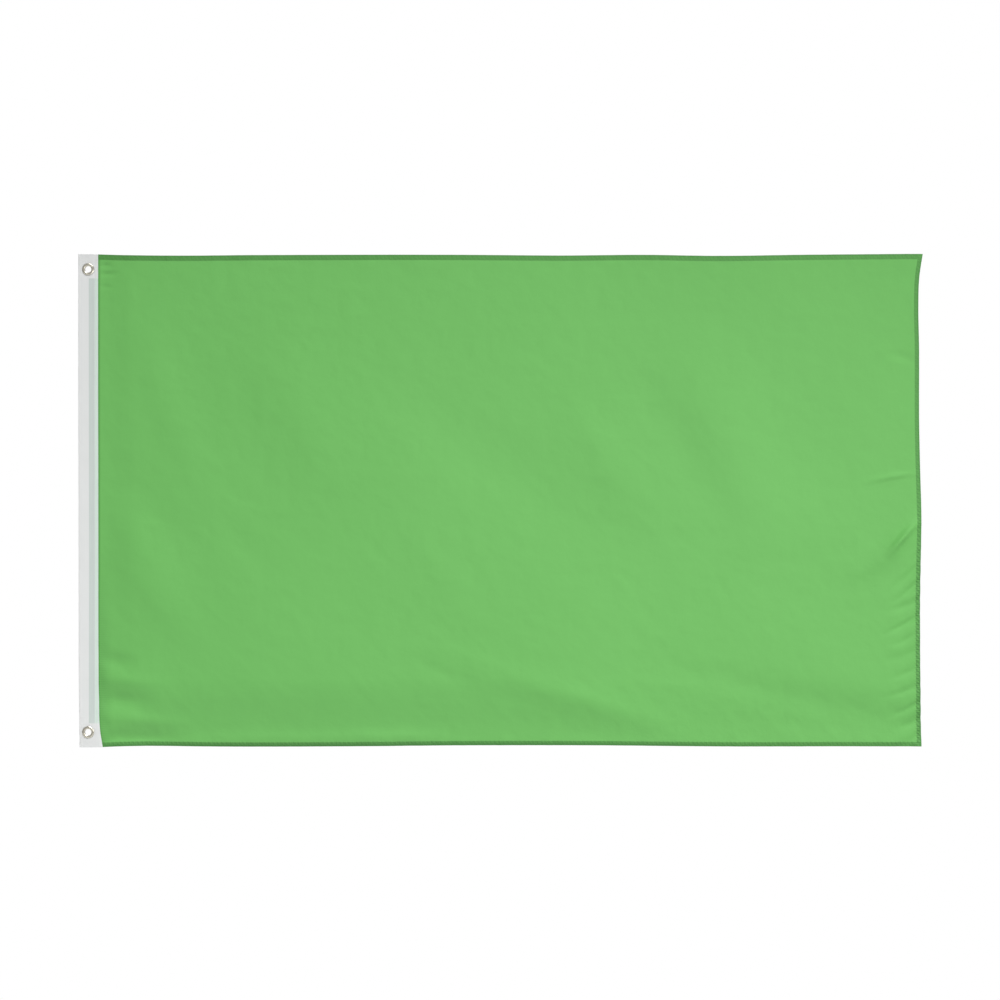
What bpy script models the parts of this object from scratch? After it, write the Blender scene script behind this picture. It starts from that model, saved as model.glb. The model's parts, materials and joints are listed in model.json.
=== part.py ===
"""A plain rectangular flag: one cloth panel, a canvas heading folded over its hoist edge, and two set grommets.

The flag hangs in the XZ plane. The hoist is at -X, the fly runs along +X, and the front faces -Y.
The origin is the middle of the upper grommet's eye. The one panel is made as upright strips that hinge on each
other, so that it can bend. Run with: blender --background --python part.py
"""

import math

import bmesh
import bpy
from mathutils import Matrix, Vector

# Overall sizes, in metres.
FLAG_LENGTH = 1.500
FLAG_HEIGHT = 0.877
HEADING_WIDTH = 0.0355

# Cloth. A hem is turned twice to the back, so three plies lie on each other.
CLOTH = 0.0002
HEM_PLIES = 3
TOP_HEM = 0.0095
BOTTOM_HEM = 0.008
FLY_HEM = 0.008
HEADING_PLY = 0.0006
MARGIN_INSIDE = 0.0165
MARGIN_OUTSIDE = 0.002
MARGIN_TO_FLANGE = 0.004

# The panel's strips. Hems and threads stop short of each fold line, so that they clear each other in a bend.
STRIPS = 4
FOLD_GAP = 0.0003
HEM_SETBACK = 0.0008
THREAD_SETBACK = 0.0012

# Grommets: an eyelet of pressed sheet from the front, rolled over a washer on the back.
GROMMET_INSET = 0.027
EYE_RADIUS = 0.00575
SHEET_METAL = 0.0004
FLANGE_RADIUS = 0.01075
FLANGE_RISE = 0.0012
CROWN_RADIUS = 0.0080
CROWN_FLAT = 0.0008
WASHER_RADIUS = 0.01075
WASHER_THICKNESS = 0.0006
WASHER_BEVEL = 0.00015
CURL_RADIUS = 0.0009
CURL_FLAT = 0.0005
ROUND_STEPS = 40
ARC_STEPS = 5

# Thread: a needle thread on the front of each seam and a bobbin thread on its back.
THREAD_RADIUS = 0.00015
THREAD_SIDES = 8
ROW_TO_HEM_FOLD = 0.0015
FLY_ROW_TO_EDGE = 0.0020
ROW_TO_SEAM = 0.0018
ROW_TO_FLANGE = 0.0007
ROW_END = 0.0010

# Room between pieces that lie on each other or pass through each other.
GAP = 0.0003
CUTTER_REACH = 0.002

# Worked out from the sizes above.
CLOTH_FRONT = -CLOTH / 2
CLOTH_BACK = CLOTH / 2
HEM_BACK = CLOTH_FRONT + CLOTH * HEM_PLIES
SLOT_HALF = CLOTH_BACK + GAP
HEADING_HALF = SLOT_HALF + HEADING_PLY
HOIST_X = -HEADING_WIDTH / 2
SEAM_X = HEADING_WIDTH / 2
SWING_X = SEAM_X + MARGIN_OUTSIDE
FLY_X = HOIST_X + FLAG_LENGTH
STRIP_WIDTH = (FLY_X - SWING_X) / STRIPS
TOP_Z = GROMMET_INSET
BOTTOM_Z = TOP_Z - FLAG_HEIGHT
GROMMETS = {"upper": 0.0, "lower": BOTTOM_Z + GROMMET_INSET}
BARREL_RADIUS = EYE_RADIUS + SHEET_METAL
HOLE_RADIUS = BARREL_RADIUS + GAP

FINISHES = {
    "panel_green": {"colour": (0.18, 0.51, 0.135, 1), "roughness": 0.6, "metallic": 0.0},
    "heading_white": {"colour": (0.75, 0.76, 0.75, 1), "roughness": 0.8, "metallic": 0.0},
    "thread_green": {"colour": (0.12, 0.37, 0.09, 1), "roughness": 0.5, "metallic": 0.0},
    "thread_white": {"colour": (0.80, 0.82, 0.80, 1), "roughness": 0.5, "metallic": 0.0},
    "grommet_brass": {"colour": (0.72, 0.67, 0.50, 1), "roughness": 0.28, "metallic": 1.0},
}


def clear_scene():
    for thing in list(bpy.data.objects):
        bpy.data.objects.remove(thing)


def finish_material(name):
    """The material of this name, made the first time that it is asked for."""
    made = bpy.data.materials.get(name)
    if made:
        return made
    made = bpy.data.materials.new(name)
    made.use_nodes = True
    shader = made.node_tree.nodes["Principled BSDF"]
    shader.inputs["Base Color"].default_value = FINISHES[name]["colour"]
    shader.inputs["Roughness"].default_value = FINISHES[name]["roughness"]
    shader.inputs["Metallic"].default_value = FINISHES[name]["metallic"]
    return made


def mesh_from(shape, name):
    """A mesh data block from a bmesh, with its faces turned outwards."""
    bmesh.ops.recalc_face_normals(shape, faces=shape.faces)
    mesh = bpy.data.meshes.new(name)
    shape.to_mesh(mesh)
    shape.free()
    return mesh


def shade_round(mesh):
    mesh.shade_smooth()
    mesh.set_sharp_from_angle(angle=math.radians(35))


def add_piece(name, mesh, finish, parent=None, location=(0, 0, 0)):
    piece = bpy.data.objects.new(name, mesh)
    bpy.context.scene.collection.objects.link(piece)
    if not mesh.materials:
        mesh.materials.append(finish_material(finish))
    piece.parent = parent
    piece.location = location
    return piece


def add_hinge(name, parent, location):
    """An empty on a hinge's upright axis. Everything past the hinge hangs under it."""
    hinge = bpy.data.objects.new(name, None)
    bpy.context.scene.collection.objects.link(hinge)
    hinge.parent = parent
    hinge.location = location
    return hinge


def grid_solid(name, x_lines, y_lines, z_lines, is_filled):
    """A closed solid of the cells of a box grid for which is_filled(column, layer, row) holds."""
    lines = (x_lines, y_lines, z_lines)
    counts = [len(line) - 1 for line in lines]
    shape = bmesh.new()

    def holds(cell):
        inside = all(0 <= cell[axis] < counts[axis] for axis in range(3))
        return inside and is_filled(*cell)

    def add_face(cell, axis, side):
        across, up = [other for other in range(3) if other != axis]
        corners = []
        for step_across, step_up in ((0, 0), (1, 0), (1, 1), (0, 1)):
            corner = [0.0, 0.0, 0.0]
            corner[axis] = lines[axis][cell[axis] + side]
            corner[across] = lines[across][cell[across] + step_across]
            corner[up] = lines[up][cell[up] + step_up]
            corners.append(shape.verts.new(corner))
        shape.faces.new(corners)

    for column in range(counts[0]):
        for layer in range(counts[1]):
            for row in range(counts[2]):
                cell = (column, layer, row)
                if not holds(cell):
                    continue
                for axis in range(3):
                    for side in (0, 1):
                        beside = list(cell)
                        beside[axis] += 2 * side - 1
                        if not holds(beside):
                            add_face(cell, axis, side)
    bmesh.ops.remove_doubles(shape, verts=shape.verts, dist=1e-6)
    return mesh_from(shape, name)


def arc(centre, radii, start, end, steps=ARC_STEPS):
    """Points along an elliptical arc, from one angle in degrees to another."""
    points = []
    for step in range(steps + 1):
        angle = math.radians(start + (end - start) * step / steps)
        points.append(Vector((centre[0] + radii[0] * math.cos(angle), centre[1] + radii[1] * math.sin(angle))))
    return points


def thickened(line, wall):
    """The outline of a sheet of this wall whose middle follows the line."""
    sides = ([], [])
    for index, point in enumerate(line):
        before = line[max(index - 1, 0)]
        after = line[min(index + 1, len(line) - 1)]
        along = (after - before).normalized()
        across = Vector((-along.y, along.x)) * wall / 2
        sides[0].append(point + across)
        sides[1].append(point - across)
    return sides[0] + sides[1][::-1]


def turned_mesh(name, outline):
    """A closed outline of (radius, depth) points turned once about the Y axis."""
    shape = bmesh.new()
    ring = [shape.verts.new((radius, depth, 0)) for radius, depth in outline]
    edges = [shape.edges.new((ring[index - 1], ring[index])) for index in range(len(ring))]
    bmesh.ops.spin(
        shape, geom=ring + edges, cent=(0, 0, 0), axis=(0, 1, 0),
        angle=math.tau, steps=ROUND_STEPS, use_merge=True,
    )
    mesh = mesh_from(shape, name)
    shade_round(mesh)
    return mesh


def eyelet_mesh():
    """The eyelet's middle line runs from the flange's rim over its crown, down the barrel and round the curl.

    The crown and the curl each have a narrow flat, pressed by the setting tool.
    """
    half = SHEET_METAL / 2
    rest = -HEADING_HALF - GAP
    barrel = EYE_RADIUS + half
    crown_inner = CROWN_RADIUS - CROWN_FLAT / 2
    crown_outer = CROWN_RADIUS + CROWN_FLAT / 2
    rim = FLANGE_RADIUS - half
    curl_end = math.degrees(math.asin(GAP / (CURL_RADIUS - half)))
    line = arc((crown_outer, rest), (rim - crown_outer, -FLANGE_RISE), 0, 90)
    line += arc((crown_inner, rest), (barrel - crown_inner, -FLANGE_RISE), 90, 0)
    curl_start = barrel + CURL_RADIUS
    line += arc((curl_start, washer_back()), (CURL_RADIUS, CURL_RADIUS), 180, 90)
    line += arc((curl_start + CURL_FLAT, washer_back()), (CURL_RADIUS, CURL_RADIUS), 90, curl_end)
    return turned_mesh("eyelet", thickened(line, SHEET_METAL))


def washer_back():
    return HEADING_HALF + GAP + WASHER_THICKNESS


def washer_mesh():
    front = HEADING_HALF + GAP
    back = washer_back()
    outline = [
        (HOLE_RADIUS, front),
        (WASHER_RADIUS, front),
        (WASHER_RADIUS, back - WASHER_BEVEL),
        (WASHER_RADIUS - WASHER_BEVEL, back),
        (HOLE_RADIUS, back),
    ]
    return turned_mesh("washer", outline)


def add_grommets():
    eyelet = eyelet_mesh()
    washer = washer_mesh()
    for place, height in GROMMETS.items():
        add_piece(f"{place}_eyelet", eyelet, "grommet_brass", location=(0, 0, height))
        add_piece(f"{place}_washer", washer, "grommet_brass", location=(0, 0, height))


def heading_mesh():
    """The folded strip: a U in plan, open towards the panel, running the flag's whole height."""
    bend_x = HOIST_X + HEADING_HALF
    outside = arc((bend_x, 0), (HEADING_HALF, HEADING_HALF), 270, 90, 2 * ARC_STEPS)
    inside = arc((bend_x, 0), (SLOT_HALF, SLOT_HALF), 90, 270, 2 * ARC_STEPS)
    outline = [Vector((SEAM_X, -HEADING_HALF))] + outside + [Vector((SEAM_X, HEADING_HALF))]
    outline += [Vector((SEAM_X, SLOT_HALF))] + inside + [Vector((SEAM_X, -SLOT_HALF))]
    shape = bmesh.new()
    base = shape.faces.new([shape.verts.new((x, y, BOTTOM_Z)) for x, y in outline])
    raised = bmesh.ops.extrude_face_region(shape, geom=[base])
    top = [part for part in raised["geom"] if isinstance(part, bmesh.types.BMVert)]
    bmesh.ops.translate(shape, verts=top, vec=(0, 0, FLAG_HEIGHT))
    return mesh_from(shape, "heading")


def add_hole_cutter(name, height):
    """A hidden cylinder through the heading, as wide as a barrel and its clearance."""
    shape = bmesh.new()
    bmesh.ops.create_cone(
        shape, cap_ends=True, segments=ROUND_STEPS, radius1=HOLE_RADIUS, radius2=HOLE_RADIUS,
        depth=2 * (HEADING_HALF + CUTTER_REACH), matrix=Matrix.Rotation(math.radians(90), 4, "X"),
    )
    cutter = add_piece(name, mesh_from(shape, name), "grommet_brass", location=(0, 0, height))
    cutter.hide_render = True
    cutter.display_type = "WIRE"
    return cutter


def add_heading():
    heading = add_piece("heading_band", heading_mesh(), "heading_white")
    for place, height in GROMMETS.items():
        hole = heading.modifiers.new(f"{place}_hole", "BOOLEAN")
        hole.operation = "DIFFERENCE"
        hole.solver = "EXACT"
        hole.object = add_hole_cutter(f"{place}_hole_cutter", height)


def add_hoist_margin():
    """The panel's own edge, sewn into the heading's fold and kept clear of the grommets."""
    clear = FLANGE_RADIUS + MARGIN_TO_FLANGE
    x_lines = (SEAM_X - MARGIN_INSIDE, SWING_X - FOLD_GAP / 2)
    z_lines = (GROMMETS["lower"] + clear, GROMMETS["upper"] - clear)
    mesh = grid_solid("margin", x_lines, (CLOTH_FRONT, CLOTH_BACK), z_lines, lambda *cell: True)
    add_piece("panel_hoist_margin", mesh, "panel_green")


def strip_mesh(number):
    """One strip, from its hinge at X 0 to the next fold line. The last strip ends in the fly hem instead."""
    is_last = number == STRIPS
    start = FOLD_GAP / 2
    end = STRIP_WIDTH if is_last else STRIP_WIDTH - FOLD_GAP / 2
    hem_end = STRIP_WIDTH - FLY_HEM if is_last else STRIP_WIDTH - HEM_SETBACK
    x_lines = (start, HEM_SETBACK, hem_end, end)
    y_lines = (CLOTH_FRONT, CLOTH_BACK, HEM_BACK)
    z_lines = (BOTTOM_Z, BOTTOM_Z + BOTTOM_HEM, TOP_Z - TOP_HEM, TOP_Z)

    def is_cloth(column, layer, row):
        in_level_hem = column == 1 and row != 1
        in_fly_hem = is_last and column > 0 and (column == 2 or row != 1)
        return layer == 0 or in_level_hem or in_fly_hem

    return grid_solid(f"strip_{number}", x_lines, y_lines, z_lines, is_cloth)


def thread_mesh(length, axis):
    """A straight strand from the origin along X or Z."""
    turn = Matrix.Rotation(math.radians(90), 4, "Y") if axis == "X" else Matrix.Identity(4)
    shape = bmesh.new()
    bmesh.ops.create_cone(
        shape, cap_ends=True, segments=THREAD_SIDES, radius1=THREAD_RADIUS, radius2=THREAD_RADIUS,
        depth=length, matrix=turn @ Matrix.Translation((0, 0, length / 2)),
    )
    mesh = mesh_from(shape, "thread")
    shade_round(mesh)
    return mesh


def add_seam_row(name, start, length, axis, faces, finish, parent=None):
    """One row of lockstitch: its needle thread off the front face and its bobbin thread off the back face."""
    off = GAP + THREAD_RADIUS
    depths = {"needle": faces[0] - off, "bobbin": faces[1] + off}
    for kind, depth in depths.items():
        mesh = thread_mesh(length, axis)
        add_piece(f"{name}_{kind}_thread", mesh, finish, parent, (start[0], depth, start[1]))


def add_heading_rows():
    """Two rows hold the panel's margin in the heading: one beside the seam, one just clear of the flanges."""
    rows = {"heading_seam": SEAM_X - ROW_TO_SEAM, "heading_inner": FLANGE_RADIUS + ROW_TO_FLANGE}
    for name, x in rows.items():
        length = FLAG_HEIGHT - 2 * ROW_END
        faces = (-HEADING_HALF, HEADING_HALF)
        add_seam_row(name, (x, BOTTOM_Z + ROW_END), length, "Z", faces, "thread_white")


def add_hem_rows(number, hinge):
    """The strip's stretch of the top and bottom hem rows. They stop short of the fly hem's rows."""
    end_gap = FLY_HEM if number == STRIPS else THREAD_SETBACK
    length = STRIP_WIDTH - THREAD_SETBACK - end_gap
    heights = {
        "top_hem": TOP_Z - TOP_HEM + ROW_TO_HEM_FOLD,
        "bottom_hem": BOTTOM_Z + BOTTOM_HEM - ROW_TO_HEM_FOLD,
    }
    for name, z in heights.items():
        start = (THREAD_SETBACK, z)
        add_seam_row(f"{name}_{number}", start, length, "X", (CLOTH_FRONT, HEM_BACK), "thread_green", hinge)


def add_fly_rows(hinge):
    rows = {"fly_hem_inner": FLY_HEM - ROW_TO_HEM_FOLD, "fly_hem_outer": FLY_ROW_TO_EDGE}
    for name, inset in rows.items():
        start = (STRIP_WIDTH - inset, BOTTOM_Z + ROW_END)
        length = FLAG_HEIGHT - 2 * ROW_END
        add_seam_row(name, start, length, "Z", (CLOTH_FRONT, HEM_BACK), "thread_green", hinge)


def add_panel():
    """The strips hinge on each other in a chain that starts beside the heading."""
    hinge = None
    place = (SWING_X, 0, 0)
    for number in range(1, STRIPS + 1):
        hinge = add_hinge(f"hinge_{number}", hinge, place)
        add_piece(f"panel_strip_{number}", strip_mesh(number), "panel_green", hinge)
        add_hem_rows(number, hinge)
        place = (STRIP_WIDTH, 0, 0)
    add_fly_rows(hinge)


clear_scene()
add_heading()
add_hoist_margin()
add_grommets()
add_heading_rows()
add_panel()
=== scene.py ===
import json
import math

import bmesh
import bpy
import numpy as np
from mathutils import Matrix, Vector


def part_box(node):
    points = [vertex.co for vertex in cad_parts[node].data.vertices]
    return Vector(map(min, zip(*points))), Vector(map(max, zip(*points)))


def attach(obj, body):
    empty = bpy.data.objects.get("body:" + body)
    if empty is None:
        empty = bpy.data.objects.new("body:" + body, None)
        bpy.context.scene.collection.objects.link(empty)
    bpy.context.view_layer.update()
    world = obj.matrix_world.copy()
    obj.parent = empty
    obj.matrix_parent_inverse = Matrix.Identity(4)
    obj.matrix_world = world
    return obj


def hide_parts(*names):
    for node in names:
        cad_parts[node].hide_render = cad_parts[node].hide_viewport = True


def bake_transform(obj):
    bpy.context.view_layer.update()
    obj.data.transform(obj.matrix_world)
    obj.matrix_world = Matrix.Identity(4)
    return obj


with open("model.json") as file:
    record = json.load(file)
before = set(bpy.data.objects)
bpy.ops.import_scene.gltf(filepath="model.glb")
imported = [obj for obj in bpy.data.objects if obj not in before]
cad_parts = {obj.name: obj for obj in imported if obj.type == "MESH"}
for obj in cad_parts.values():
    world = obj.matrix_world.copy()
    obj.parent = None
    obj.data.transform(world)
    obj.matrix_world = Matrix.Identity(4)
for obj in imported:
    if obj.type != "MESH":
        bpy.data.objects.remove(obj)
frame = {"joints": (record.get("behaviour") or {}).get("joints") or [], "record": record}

print("flag: frame loaded")
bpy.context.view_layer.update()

# the places that everything else is worked out from
headingLow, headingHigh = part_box("heading_band")
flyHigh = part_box("panel_strip_4")[1]
hoistX, seamX, flyX = headingLow.x, headingHigh.x, flyHigh.x
bottomZ, topZ = headingLow.z, headingHigh.z
hinges = {joint["child"]: joint["pos_m"][0] for joint in frame["joints"]}
grommetCentres = {}
for side in ("upper", "lower"):
    low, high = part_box(f"{side}_eyelet")
    grommetCentres[side] = ((low.x + high.x) / 2, (low.z + high.z) / 2)


# camera, light and floor

studio = {
    "lens": 85.0, "sensor": 36.0, "frameWidth": 1.7783, "aimUp": 0.0014,
    "backdrop": 1.0, "skyLight": 0.085, "skyShine": 0.42,
    "key": {"place": (0.56, -1.0, 1.54), "spread": 22.0, "power": 3.2},
    "front": {"size": (1.9, 0.4), "power": 10.2, "place": (0.58, -1.35, 0.02)},
    "behind": {"size": (2.4, 2.4), "power": 40.0, "place": (-1.2, 2.6, 0.7)},
    "floorDrop": 1.10, "floorAcross": 5.0, "floorFront": 4.0, "floorBack": 2.6,
    "floorTone": 0.86, "floorRoughness": 0.9, "floorGlow": 0.08,
}


def aimAt(thing, target):
    thing.rotation_euler = (Vector(target) - thing.location).to_track_quat("-Z", "Y").to_euler()


def addCamera():
    camera = bpy.data.objects.new("camera", bpy.data.cameras.new("camera"))
    camera.data.lens = studio["lens"]
    camera.data.sensor_width = studio["sensor"]
    distance = studio["frameWidth"] * studio["lens"] / studio["sensor"]
    middle = Vector(((hoistX + flyX) / 2, 0, (bottomZ + topZ) / 2 + studio["aimUp"]))
    camera.location = middle - Vector((0, distance, 0))
    aimAt(camera, middle)
    bpy.context.scene.collection.objects.link(camera)
    bpy.context.scene.camera = camera
    return middle


def addLamp(name, kind, target):
    settings = studio[name]
    data = bpy.data.lights.new(name, kind)
    data.energy = settings["power"]
    lamp = bpy.data.objects.new(name, data)
    if kind == "SUN":
        data.angle = math.radians(settings["spread"])
    else:
        data.shape = "RECTANGLE"
        data.size, data.size_y = settings["size"]
        lamp.visible_camera = False
    lamp.location = Vector(target) + Vector(settings["place"])
    aimAt(lamp, target)
    bpy.context.scene.collection.objects.link(lamp)


def addWorld():
    world = bpy.data.worlds.new("paperSky")
    bpy.context.scene.world = world
    world.use_nodes = True
    tree = world.node_tree
    sky = tree.nodes["Background"]
    rays = tree.nodes.new("ShaderNodeLightPath")
    # dimmer for lighting than for shine, and paper white where the camera sees it
    level = None
    for output, strength in (("Is Glossy Ray", studio["skyShine"]), ("Is Camera Ray", studio["backdrop"])):
        step = tree.nodes.new("ShaderNodeMapRange")
        step.inputs["To Max"].default_value = strength
        step.inputs["To Min"].default_value = studio["skyLight"]
        if level:
            tree.links.new(level, step.inputs["To Min"])
        tree.links.new(rays.outputs[output], step.inputs["Value"])
        level = step.outputs["Result"]
    tree.links.new(level, sky.inputs["Strength"])
    sky.inputs["Color"].default_value = (1, 1, 1, 1)


def addFloor(middle):
    z = bottomZ - studio["floorDrop"]
    across, front, back = studio["floorAcross"], -studio["floorFront"], studio["floorBack"]
    corners = [(middle.x + a * across, y, z) for a, y in ((-1, front), (1, front), (1, back), (-1, back))]
    mesh = bpy.data.meshes.new("floor")
    mesh.from_pydata(corners, [], [(0, 1, 2, 3)])
    floor = bpy.data.objects.new("floor", mesh)
    bpy.context.scene.collection.objects.link(floor)
    paint = bpy.data.materials.new("floorPaint")
    paint.use_nodes = True
    shader = paint.node_tree.nodes["Principled BSDF"]
    tone = studio["floorTone"]
    shader.inputs["Base Color"].default_value = (tone, tone, tone, 1)
    shader.inputs["Roughness"].default_value = studio["floorRoughness"]
    shader.inputs["Emission Color"].default_value = (1, 1, 1, 1)
    shader.inputs["Emission Strength"].default_value = studio["floorGlow"]
    mesh.materials.append(paint)


bpy.context.scene.view_settings.view_transform = "Standard"
flagMiddle = addCamera()
addWorld()
addLamp("key", "SUN", flagMiddle)
addLamp("front", "AREA", flagMiddle)
addLamp("behind", "AREA", flagMiddle)
addFloor(flagMiddle)
print("flag: camera, lights and floor set")


# materials, with their arithmetic written as expressions


class Wire:
    def __init__(self, maker, socket):
        self.maker = maker
        self.socket = socket

    def calc(self, operation, first, second):
        return self.maker.add("Math", {"operation": operation}, {0: first, 1: second})

    def __add__(self, other):
        return self.calc("ADD", self, other)

    def __mul__(self, other):
        return self.calc("MULTIPLY", self, other)

    def __rtruediv__(self, other):
        return self.calc("DIVIDE", other, self)


class Finish:
    # one material; its nodes are added by kind, settings and inputs
    def __init__(self, name):
        self.material = bpy.data.materials.new(name)
        self.material.use_nodes = True
        self.tree = self.material.node_tree
        self.tree.nodes.clear()

    def add(self, kind, settings=None, inputs=None, output=0):
        node = self.tree.nodes.new("ShaderNode" + kind)
        for name, value in (settings or {}).items():
            setattr(node, name, value)
        self.join(node, inputs)
        return Wire(self, node.outputs[output])

    def join(self, node, inputs):
        for key, value in (inputs or {}).items():
            if isinstance(value, Wire):
                self.tree.links.new(value.socket, node.inputs[key])
            else:
                node.inputs[key].default_value = value

    def place(self):
        # object coordinates in metres, as three values
        spot = self.add("TexCoord", output="Object")
        split = self.add("SeparateXYZ", None, {0: spot}, "X")
        return spot, split, Wire(self, split.socket.node.outputs["Z"])

    def attribute(self, name):
        return self.add("Attribute", {"attribute_name": name}, None, "Fac")

    def wave(self, phase):
        return self.add("Math", {"operation": "SINE"}, {0: phase})

    def noise(self, spot, scale, stretch=(1, 1, 1), detail=2.0, rough=0.5):
        turned = self.add("Mapping", None, {"Vector": spot, "Scale": stretch})
        values = {"Vector": turned, "Scale": scale, "Detail": detail, "Roughness": rough}
        return self.add("TexNoise", None, values)

    def tint(self, factor, first, second):
        node = self.tree.nodes.new("ShaderNodeMix")
        node.data_type = "RGBA"
        self.join(node, {0: factor, 6: first, 7: second})
        return Wire(self, node.outputs[2])

    def smooth(self, value, low, high, fromZero=0.0, toOne=1.0):
        values = {"Value": value, "From Min": low, "From Max": high, "To Min": fromZero, "To Max": toOne}
        return self.add("MapRange", {"interpolation_type": "SMOOTHSTEP"}, values)

    def bump(self, height, distance, strength, normal=None):
        values = {"Height": height, "Distance": distance, "Strength": strength}
        if normal:
            values["Normal"] = normal
        return self.add("Bump", None, values)

    def close(self, shader):
        ending = self.tree.nodes.new("ShaderNodeOutputMaterial")
        self.tree.links.new(shader.socket, ending.inputs["Surface"])
        return self.material


hemLook = {
    "pitch": 0.0032, "stray": 2.2, "ropePitch": 0.0075, "lean": 620.0, "ropeStray": 5.0,
    "depth": 0.00042, "strength": 0.75, "scallop": 0.18, "seamShade": 0.62, "seamShadeStray": 3.0,
}


def ripples(finish, along, across, mask, wander):
    # the small gathers that a row of stitches leaves in a hem, leaning a little
    look = hemLook
    fine = finish.wave(along * (math.tau / look["pitch"]) + wander * look["stray"])
    slanted = along * (math.tau / look["ropePitch"]) + across * look["lean"] + wander * look["ropeStray"]
    return (fine * 0.5 + finish.wave(slanted) * 0.5) * mask


def weave(finish, across, up, pitch):
    # warp and weft threads that pass over and under each other
    warp = finish.wave(across * (math.tau / pitch))
    weft = finish.wave(up * (math.tau / pitch))
    return warp * weft


# hemGreen and deepHem are painted shade: darker greens for the hems that stand in for less light through
# their three plies, also used for their shaded edges and the strip beside the seam
panelLook = {
    "green": (0.160, 0.488, 0.118, 1), "paleGreen": (0.172, 0.508, 0.128, 1),
    "hemGreen": (0.118, 0.370, 0.084, 1), "deepHem": (0.062, 0.224, 0.048, 1),
    "roughness": 0.56, "sheen": 0.10, "sheenRoughness": 0.4, "specular": 0.32, "seeThrough": 0.36,
    "mottleScale": 5.5, "wanderScale": 60.0, "yarnScale": 900.0, "yarnStretch": 0.012,
    "threadPitch": 0.00052, "weaveDepth": 0.00004, "yarnDepth": 0.00005,
    "crumpleScale": 150.0, "crumpleDepth": 0.00028,
}


def panelCloth():
    look = panelLook
    finish = Finish("greenPolyester")
    spot, x, z = finish.place()
    plies = finish.attribute("plies")
    mottle = finish.noise(spot, look["mottleScale"], detail=3.0)
    warpYarn = finish.noise(spot, look["yarnScale"], (1, 1, look["yarnStretch"]))
    weftYarn = finish.noise(spot, look["yarnScale"], (look["yarnStretch"], 1, 1))
    blend = finish.smooth(mottle, 0.3, 0.7) * 0.2 + warpYarn * 0.5 + weftYarn * 0.3
    base = finish.tint(blend, look["green"], look["paleGreen"])
    inHem = finish.smooth(plies, 1.2, 2.6)
    wander = finish.noise(spot, look["wanderScale"])
    gathers = ripples(finish, z, x, finish.attribute("flyHem"), wander)
    gathers = gathers + ripples(finish, x, z, finish.attribute("edgeHem"), wander)
    # painted shade: the hems take darker greens for less light passing through three plies, darker still in
    # the hollows of their gathers
    hemShade = finish.tint(finish.smooth(gathers, -0.9, 0.9), look["deepHem"], look["hemGreen"])
    # painted shade along each hem's outermost edge, which turns away from the light
    shade = finish.tint(finish.attribute("hemRimShade"), hemShade, look["deepHem"])
    colour = finish.tint(inHem, base, shade)
    # painted shade: a dark, scalloped strip on the panel where the canvas grips it beside the seam
    scallop = finish.wave(z * (math.tau / hemLook["pitch"]) + wander * hemLook["seamShadeStray"])
    seamShade = finish.attribute("paintedSeamShade") * (scallop * hemLook["scallop"] + hemLook["seamShade"])
    colour = finish.tint(seamShade, colour, look["deepHem"])
    crumple = finish.noise(spot, look["crumpleScale"], detail=2.5)
    normal = finish.bump(crumple, look["crumpleDepth"], 1.0)
    normal = finish.bump(warpYarn + weftYarn, look["yarnDepth"], 0.35, normal)
    normal = finish.bump(weave(finish, x, z, look["threadPitch"]), look["weaveDepth"], 0.3, normal)
    normal = finish.bump(gathers, hemLook["depth"], hemLook["strength"], normal)
    solid = finish.add("BsdfPrincipled", None, {
        "Base Color": colour, "Roughness": warpYarn * 0.08 + (look["roughness"] - 0.04), "Normal": normal,
        "Sheen Weight": look["sheen"], "Sheen Roughness": look["sheenRoughness"],
        "Specular IOR Level": look["specular"],
    })
    # light comes through one ply, and less through a hem
    glow = finish.add("BsdfTranslucent", None, {"Color": colour})
    return finish.close(finish.add("MixShader", None, {0: look["seeThrough"] / plies, 1: solid, 2: glow}))


headingLook = {
    "white": (0.752, 0.764, 0.757, 1), "paleWhite": (0.800, 0.810, 0.804, 1),
    "mint": (0.566, 0.640, 0.603, 1), "paleMint": (0.640, 0.764, 0.686, 1),
    "roughness": 0.82, "specular": 0.2, "seeThrough": 0.12,
    "yarnScale": 700.0, "yarnStretch": 0.03, "yarnDepth": 0.00012, "soilScale": 14.0,
    "threadPitch": 0.0009, "weaveDepth": 0.00010,
    "marginIn": 0.0165, "turnedIn": 0.0062, "blur": 0.0008, "marginEnd": 0.016, "endBlur": 0.002,
}


def headingCanvas():
    look = headingLook
    finish = Finish("whiteCanvas")
    spot, x, z = finish.place()
    yarn = finish.noise(spot, look["yarnScale"], (1, 1, look["yarnStretch"]))
    cross = finish.noise(spot, look["yarnScale"], (look["yarnStretch"], 1, 1))
    soil = finish.noise(spot, look["soilScale"], detail=4.0)
    base = finish.tint(soil * 0.6 + yarn * 0.4, look["white"], look["paleWhite"])
    # the green margin inside shows through one ply, and less through two
    blur, endBlur = look["blur"], look["endBlur"]
    lowEnd = grommetCentres["lower"][1] + look["marginEnd"]
    highEnd = grommetCentres["upper"][1] - look["marginEnd"]
    within = finish.smooth(z, lowEnd - endBlur, lowEnd + endBlur)
    within = within * finish.smooth(z, highEnd + endBlur, highEnd - endBlur)
    start, turn = seamX - look["marginIn"], seamX - look["turnedIn"]
    inMargin = finish.smooth(x, start - blur, start + blur) * within
    mint = finish.tint(finish.smooth(x, turn - blur, turn + blur), look["mint"], look["paleMint"])
    colour = finish.tint(inMargin, base, finish.tint(yarn * 0.3, mint, look["paleWhite"]))
    normal = finish.bump(yarn + cross, look["yarnDepth"], 0.4)
    normal = finish.bump(weave(finish, x, z, look["threadPitch"]), look["weaveDepth"], 0.5, normal)
    solid = finish.add("BsdfPrincipled", None, {
        "Base Color": colour, "Roughness": look["roughness"], "Normal": normal,
        "Specular IOR Level": look["specular"],
    })
    glow = finish.add("BsdfTranslucent", None, {"Color": colour})
    return finish.close(finish.add("MixShader", None, {0: look["seeThrough"], 1: solid, 2: glow}))


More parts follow.
